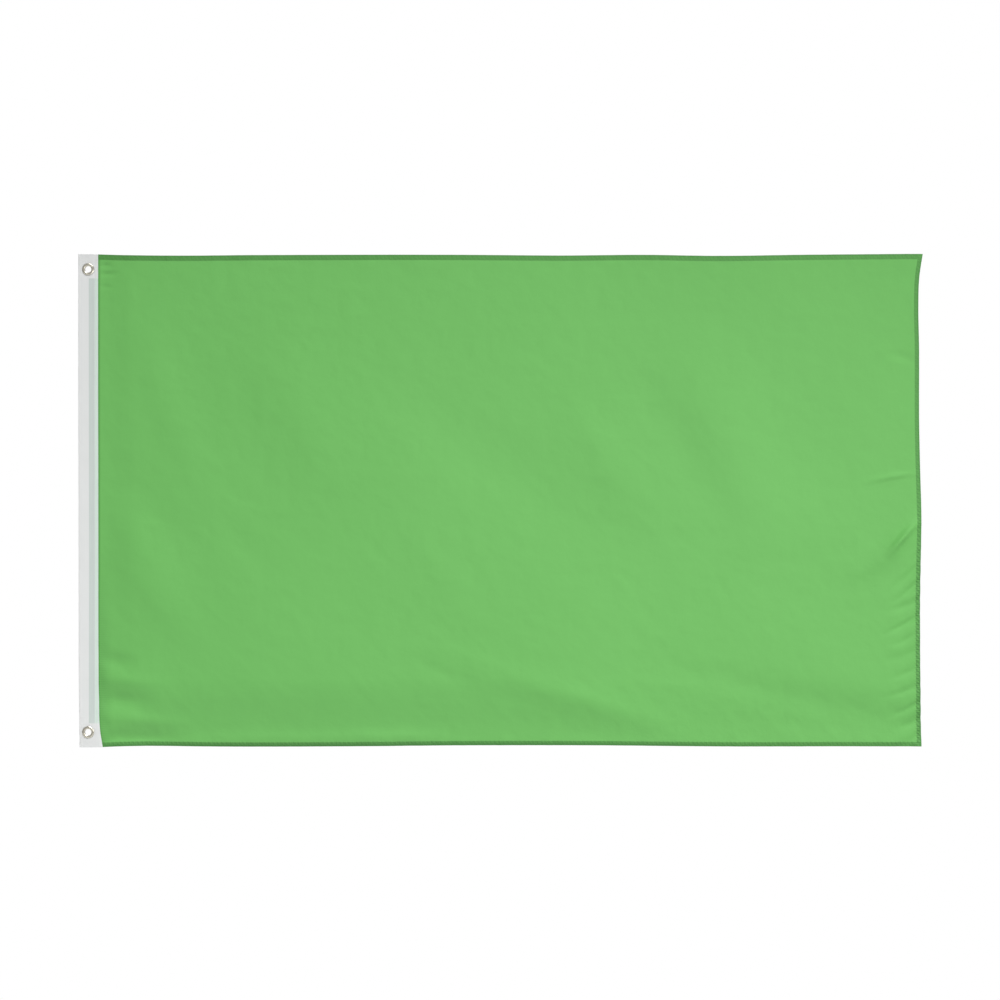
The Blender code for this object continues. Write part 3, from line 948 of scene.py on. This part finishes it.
grommetSizes = {
    "eye": 0.00575, "sheet": 0.0004, "flange": 0.01075, "rise": 0.00135, "crown": 0.0080, "rest": 0.00078,
    "washer": 0.01075, "washerSheet": 0.00055, "washerDish": 0.0004, "curl": 0.0009, "curlFlat": 0.0003,
    "clearance": 0.0002, "lip": 0.0001, "steps": 120,
}


def arcPoints(centre, radii, start, end, steps):
    angles = np.radians(np.linspace(start, end, steps + 1))
    return [np.array(centre) + np.array(radii) * (math.cos(a), math.sin(a)) for a in angles]


def thickLine(line, wall, capSteps=4):
    # the rounded outline of pressed sheet whose middle follows the line
    line = np.array(line)
    along = np.gradient(line, axis=0)
    along /= np.linalg.norm(along, axis=1, keepdims=True)
    across = np.stack([-along[:, 1], along[:, 0]], axis=1) * wall / 2
    left, right = line + across, line - across
    caps = []
    for middle, side, ahead in ((line[-1], across[-1], along[-1]), (line[0], -across[0], -along[0])):
        angles = np.radians(np.linspace(0, 180, capSteps + 2)[1:-1])
        caps.append([middle + side * math.cos(a) + ahead * wall / 2 * math.sin(a) for a in angles])
    return np.array(list(left) + caps[0] + list(right[::-1]) + caps[1])


def turnedPiece(name, outline, centre, recess):
    steps = grommetSizes["steps"]
    turns = np.linspace(0, math.tau, steps, endpoint=False)
    radius, depth = outline[:, 0], outline[:, 1]
    count = len(outline)
    points = np.stack([
        centre[0] + np.cos(turns)[:, None] * radius[None, :],
        np.broadcast_to(depth[None, :], (steps, count)),
        centre[1] + np.sin(turns)[:, None] * radius[None, :],
    ], axis=-1).reshape(-1, 3)
    faces = []
    for turn in range(steps):
        here, beside = turn * count, (turn + 1) % steps * count
        for index in range(count):
            after = (index + 1) % count
            faces.append((here + index, here + after, beside + after, beside + index))
    # the outline may run either way round, and the faces point outwards
    area = np.sum(radius * np.roll(depth, -1) - np.roll(radius, -1) * depth)
    faces = np.array(faces) if area < 0 else np.array(faces)[:, ::-1]
    shade = np.broadcast_to(recess(radius, depth)[None, :], (steps, count))
    ring = np.broadcast_to(radius[None, :], (steps, count))
    return meshPiece(name, points, faces, finishes["metal"], ring=ring, recess=shade)


def eyeletLine(rim, rest, back):
    # from the rim over the flange's crown, down the barrel and round the rolled end: radius and depth
    s = grommetSizes
    barrel, roll = s["eye"] + s["sheet"] / 2, (s["curl"], s["curl"])
    line = [np.array((rim, rest + s["lip"]))]
    line += arcPoints((s["crown"], rest), (rim - s["crown"], -s["rise"]), 8, 90, 14)
    line += arcPoints((s["crown"], rest), (barrel - s["crown"], -s["rise"]), 84, 0, 12)
    line += [np.array((barrel, y)) for y in np.linspace(rest, back, 6)[1:]]
    line += arcPoints((barrel + s["curl"], back), roll, 170, 90, 8)
    line += arcPoints((barrel + s["curl"] + s["curlFlat"], back), roll, 90, 12, 8)
    return line


def makeGrommets():
    s = grommetSizes
    rim, rest = s["flange"] - s["sheet"] / 2, -s["rest"] - s["sheet"] / 2
    back = s["rest"] + s["washerSheet"] + s["clearance"]
    eyelet = eyeletLine(rim, rest, back)
    # the washer: a dished ring
    washer = [np.array((r, s["rest"] + s["washerSheet"] / 2 + s["washerDish"] * dish)) for r, dish in (
        (s["eye"] + s["sheet"] + s["clearance"], 0.0), (0.0072, 0.05), (0.0082, 0.45), (0.0089, 0.85),
        (0.0095, 1.0), (0.0100, 0.9), (s["washer"] - 0.0002, 0.35))]

    # painted shade in the barrel's mouth, at the rim where it meets the canvas, and in the washer's inner
    # edge
    def eyeletShade(radius, depth):
        mouth = softStep(-radius, -s["eye"] - 0.0009, -s["eye"]) * 0.75 * softStep(depth, -0.0019, -0.0006)
        return np.clip(mouth + softStep(radius, rim - 0.0008, rim) * softStep(depth, -0.0019, -0.0012), 0, 1)

    def washerShade(radius, depth):
        return np.clip(1 - softStep(radius, 0.0072, 0.0086), 0, 1) * 0.7

    eyeletOutline, washerOutline = thickLine(eyelet, s["sheet"]), thickLine(washer, s["washerSheet"])
    for side, centre in grommetCentres.items():
        front = turnedPiece(f"{side}_grommet_eyelet", eyeletOutline, centre, eyeletShade)
        behind = turnedPiece(f"{side}_grommet_washer", washerOutline, centre, washerShade)
        for piece, node in ((front, f"{side}_eyelet"), (behind, f"{side}_washer")):
            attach(piece, "heading")
            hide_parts(node)


makeGrommets()
print("flag: grommets turned")


# stitches: Geometry Nodes set one raised strand of thread on each stitch of a row

stitchSizes = {
    "pitch": 0.0032, "share": 0.80, "thread": 0.00017, "rise": 0.00024, "dip": 0.00016,
    "sides": 6, "bends": 5, "wander": 0.05, "seed": 3, "lift": 0.4, "rowStep": 0.0016,
}


def stitchTree():
    tree = bpy.data.node_groups.new("stitchRow", "GeometryNodeTree")
    face = tree.interface
    face.new_socket("Geometry", in_out="INPUT", socket_type="NodeSocketGeometry")
    for name in ("stitchLength", "threadLength", "threadRadius", "rise", "dip"):
        face.new_socket(name, in_out="INPUT", socket_type="NodeSocketFloat")
    face.new_socket("threadFinish", in_out="INPUT", socket_type="NodeSocketMaterial")
    face.new_socket("Geometry", in_out="OUTPUT", socket_type="NodeSocketGeometry")

    def add(kind, settings=None, **inputs):
        node = tree.nodes.new(kind)
        for name, value in (settings or {}).items():
            setattr(node, name, value)
        for name, value in inputs.items():
            node.inputs[name].default_value = value
        return node

    def times(output, factor):
        node = add("ShaderNodeMath", {"operation": "MULTIPLY"})
        node.inputs[1].default_value = factor
        tree.links.new(start.outputs[output], node.inputs[0])
        return node

    start, finish = add("NodeGroupInput"), add("NodeGroupOutput")
    rows = add("GeometryNodeMeshToCurve")
    spaced = add("GeometryNodeResampleCurve", {"mode": "LENGTH"})
    spots = add("GeometryNodeCurveToPoints", {"mode": "EVALUATED"})
    # one stitch: an arched strand, its ends dipping into the cloth
    minusHalf, plusHalf = times("threadLength", -0.5), times("threadLength", 0.5)
    minusDip = times("dip", -1.0)
    left, middle, right = (add("ShaderNodeCombineXYZ") for _ in range(3))
    arch = add("GeometryNodeCurveQuadraticBezier", Resolution=stitchSizes["bends"])
    ring = add("GeometryNodeCurvePrimitiveCircle", Resolution=stitchSizes["sides"])
    strand = add("GeometryNodeCurveToMesh")
    strand.inputs["Fill Caps"].default_value = True
    # turned along the row, with its arch towards the side that the row faces
    outward = add("GeometryNodeInputNamedAttribute", {"data_type": "FLOAT_VECTOR"}, Name="facing")
    along = add("FunctionNodeAlignRotationToVector", {"axis": "X"})
    raised = add("FunctionNodeAlignRotationToVector", {"axis": "Z", "pivot_axis": "X"})
    low, high = 1 - stitchSizes["wander"], 1 + stitchSizes["wander"]
    wander = add(
        "FunctionNodeRandomValue", {"data_type": "FLOAT"}, Min=low, Max=high, Seed=stitchSizes["seed"])
    placed = add("GeometryNodeInstanceOnPoints")
    real, smooth = add("GeometryNodeRealizeInstances"), add("GeometryNodeSetShadeSmooth")
    painted = add("GeometryNodeSetMaterial")
    for fromNode, output, toNode, key in (
        (start, "Geometry", rows, "Mesh"), (rows, "Curve", spaced, "Curve"),
        (start, "stitchLength", spaced, "Length"), (spaced, "Curve", spots, "Curve"),
        (minusHalf, 0, left, "X"), (minusDip, 0, left, "Z"), (start, "rise", middle, "Z"),
        (plusHalf, 0, right, "X"), (minusDip, 0, right, "Z"),
        (left, 0, arch, "Start"), (middle, 0, arch, "Middle"), (right, 0, arch, "End"),
        (start, "threadRadius", ring, "Radius"), (arch, "Curve", strand, "Curve"),
        (ring, "Curve", strand, "Profile Curve"),
        (spots, "Tangent", along, "Vector"), (along, "Rotation", raised, "Rotation"),
        (outward, "Attribute", raised, "Vector"),
        (spots, "Points", placed, "Points"), (strand, "Mesh", placed, "Instance"),
        (raised, "Rotation", placed, "Rotation"), (placed, "Instances", real, "Geometry"),
        (real, "Geometry", smooth, "Geometry"), (smooth, "Geometry", painted, "Geometry"),
        (start, "threadFinish", painted, "Material"), (painted, "Geometry", finish, "Geometry"),
    ):
        tree.links.new(fromNode.outputs[output], toNode.inputs[key])
    # only the output of the chosen kind is live
    tree.links.new(next(output for output in wander.outputs if output.enabled), placed.inputs["Scale"])
    return tree


def rowLine(surface, places, fixed, alongX, depth, facing):
    # a row's own points on the cloth: along X at one height, or up Z at one x
    x, z = (places, np.full_like(places, fixed)) if alongX else (np.full_like(places, fixed), places)
    return surface(x, z, depth), facing


def stitchPiece(tree, name, rows, finish):
    points, links, facings = [], [], []
    for line, facing in rows:
        first = len(points)
        points += line.tolist()
        links += [(first + i, first + i + 1) for i in range(len(line) - 1)]
        facings += [facing] * len(line)
    mesh = bpy.data.meshes.new(name)
    mesh.from_pydata(points, links, [])
    layer = mesh.attributes.new("facing", "FLOAT_VECTOR", "POINT")
    layer.data.foreach_set("vector", np.asarray(facings, np.float32).ravel())
    holder = bpy.data.objects.new(name + "_rows", mesh)
    bpy.context.scene.collection.objects.link(holder)
    modifier = holder.modifiers.new("stitches", "NODES")
    modifier.node_group = tree
    values = {
        "stitchLength": stitchSizes["pitch"], "threadLength": stitchSizes["pitch"] * stitchSizes["share"],
        "threadRadius": stitchSizes["thread"], "rise": stitchSizes["rise"] * 2, "dip": stitchSizes["dip"],
        "threadFinish": finish,
    }
    for item in tree.interface.items_tree:
        if item.in_out == "INPUT" and item.name in values:
            modifier[item.identifier] = values[item.name]
    graph = bpy.context.evaluated_depsgraph_get()
    made = bpy.data.meshes.new_from_object(holder.evaluated_get(graph))
    made.name = name
    bpy.data.objects.remove(holder)
    if "facing" in made.attributes:
        made.attributes.remove(made.attributes["facing"])
    if not made.materials:
        made.materials.append(finish)
    piece = bpy.data.objects.new(name, made)
    bpy.context.scene.collection.objects.link(piece)
    print("flag:", name, "faces", len(made.polygons))
    return piece


def clothPoint(x, z, depth, relief):
    newX, newZ = shifted(x, z)
    return np.stack([newX, depth - relief, newZ], axis=-1)


def hemPoint(x, z, depth):
    return clothPoint(x, z, depth, reliefAt(x, z) + hemRelief(x, z))


def headingPoint(x, z, depth):
    return clothPoint(x, z, depth, reliefAt(x, z))


def threadNodes(body):
    return [name for name in frame["record"]["behaviour"]["bodies"][body] if "thread" in name]


def makeHemStitches(tree):
    s = panelSizes
    front, back = (0.0, -1.0, 0.0), (0.0, 1.0, 0.0)
    lift, step = stitchSizes["thread"] * stitchSizes["lift"], stitchSizes["rowStep"]
    backDepth = 2 * s["plyGap"] + lift
    heights = (topZ - s["topHem"] + s["stitchIn"], bottomZ + s["bottomHem"] - s["stitchIn"])
    for part in parts:
        number = part["number"]
        start = seamX + 0.0012 if number == 1 else part["from"]
        end = flyX - s["flyHem"] + s["stitchIn"] if number == 4 else part["to"]
        places = np.arange(start, end, step)
        rows = []
        for height in heights:
            rows.append(rowLine(hemPoint, places, height, True, -lift, front))
            rows.append(rowLine(hemPoint, places, height, True, backDepth, back))
        if number == 4:
            upright = np.arange(bottomZ + 0.0012, topZ - 0.001, step)
            crossed = np.maximum(
                withinHem(topZ - upright, "topHem", 0, hemMarks["fade"]),
                withinHem(upright - bottomZ, "bottomHem", 0, hemMarks["fade"]))
            deep = backDepth + 6 * s["plyGap"] * crossed
            for inset in (s["flyHem"] - s["stitchIn"], s["flyOuterRow"]):
                rows.append(rowLine(hemPoint, upright, flyX - inset, False, -lift, front))
                rows.append(rowLine(hemPoint, upright, flyX - inset, False, deep, back))
        piece = stitchPiece(tree, f"hem_stitches_{number}", rows, finishes["greenThread"])
        bendPiece(piece, part)
        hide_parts(*threadNodes(f"panel_{number}"))


def makeHeadingStitches(tree):
    sizes = headingSizes
    front, back = (0.0, -1.0, 0.0), (0.0, 1.0, 0.0)
    depth = sizes["half"] - sizes["rowDip"] + stitchSizes["thread"] * stitchSizes["lift"]
    upright = np.arange(bottomZ + 0.0016, topZ - 0.0014, stitchSizes["rowStep"])
    rows = []
    for inset in sizes["rows"]:
        rows.append(rowLine(headingPoint, upright, seamX - inset, False, -depth, front))
        rows.append(rowLine(headingPoint, upright, seamX - inset, False, depth, back))
    piece = stitchPiece(tree, "heading_stitches", rows, finishes["whiteThread"])
    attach(piece, "heading")
    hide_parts(*threadNodes("heading"))


rowTree = stitchTree()
makeHemStitches(rowTree)
makeHeadingStitches(rowTree)
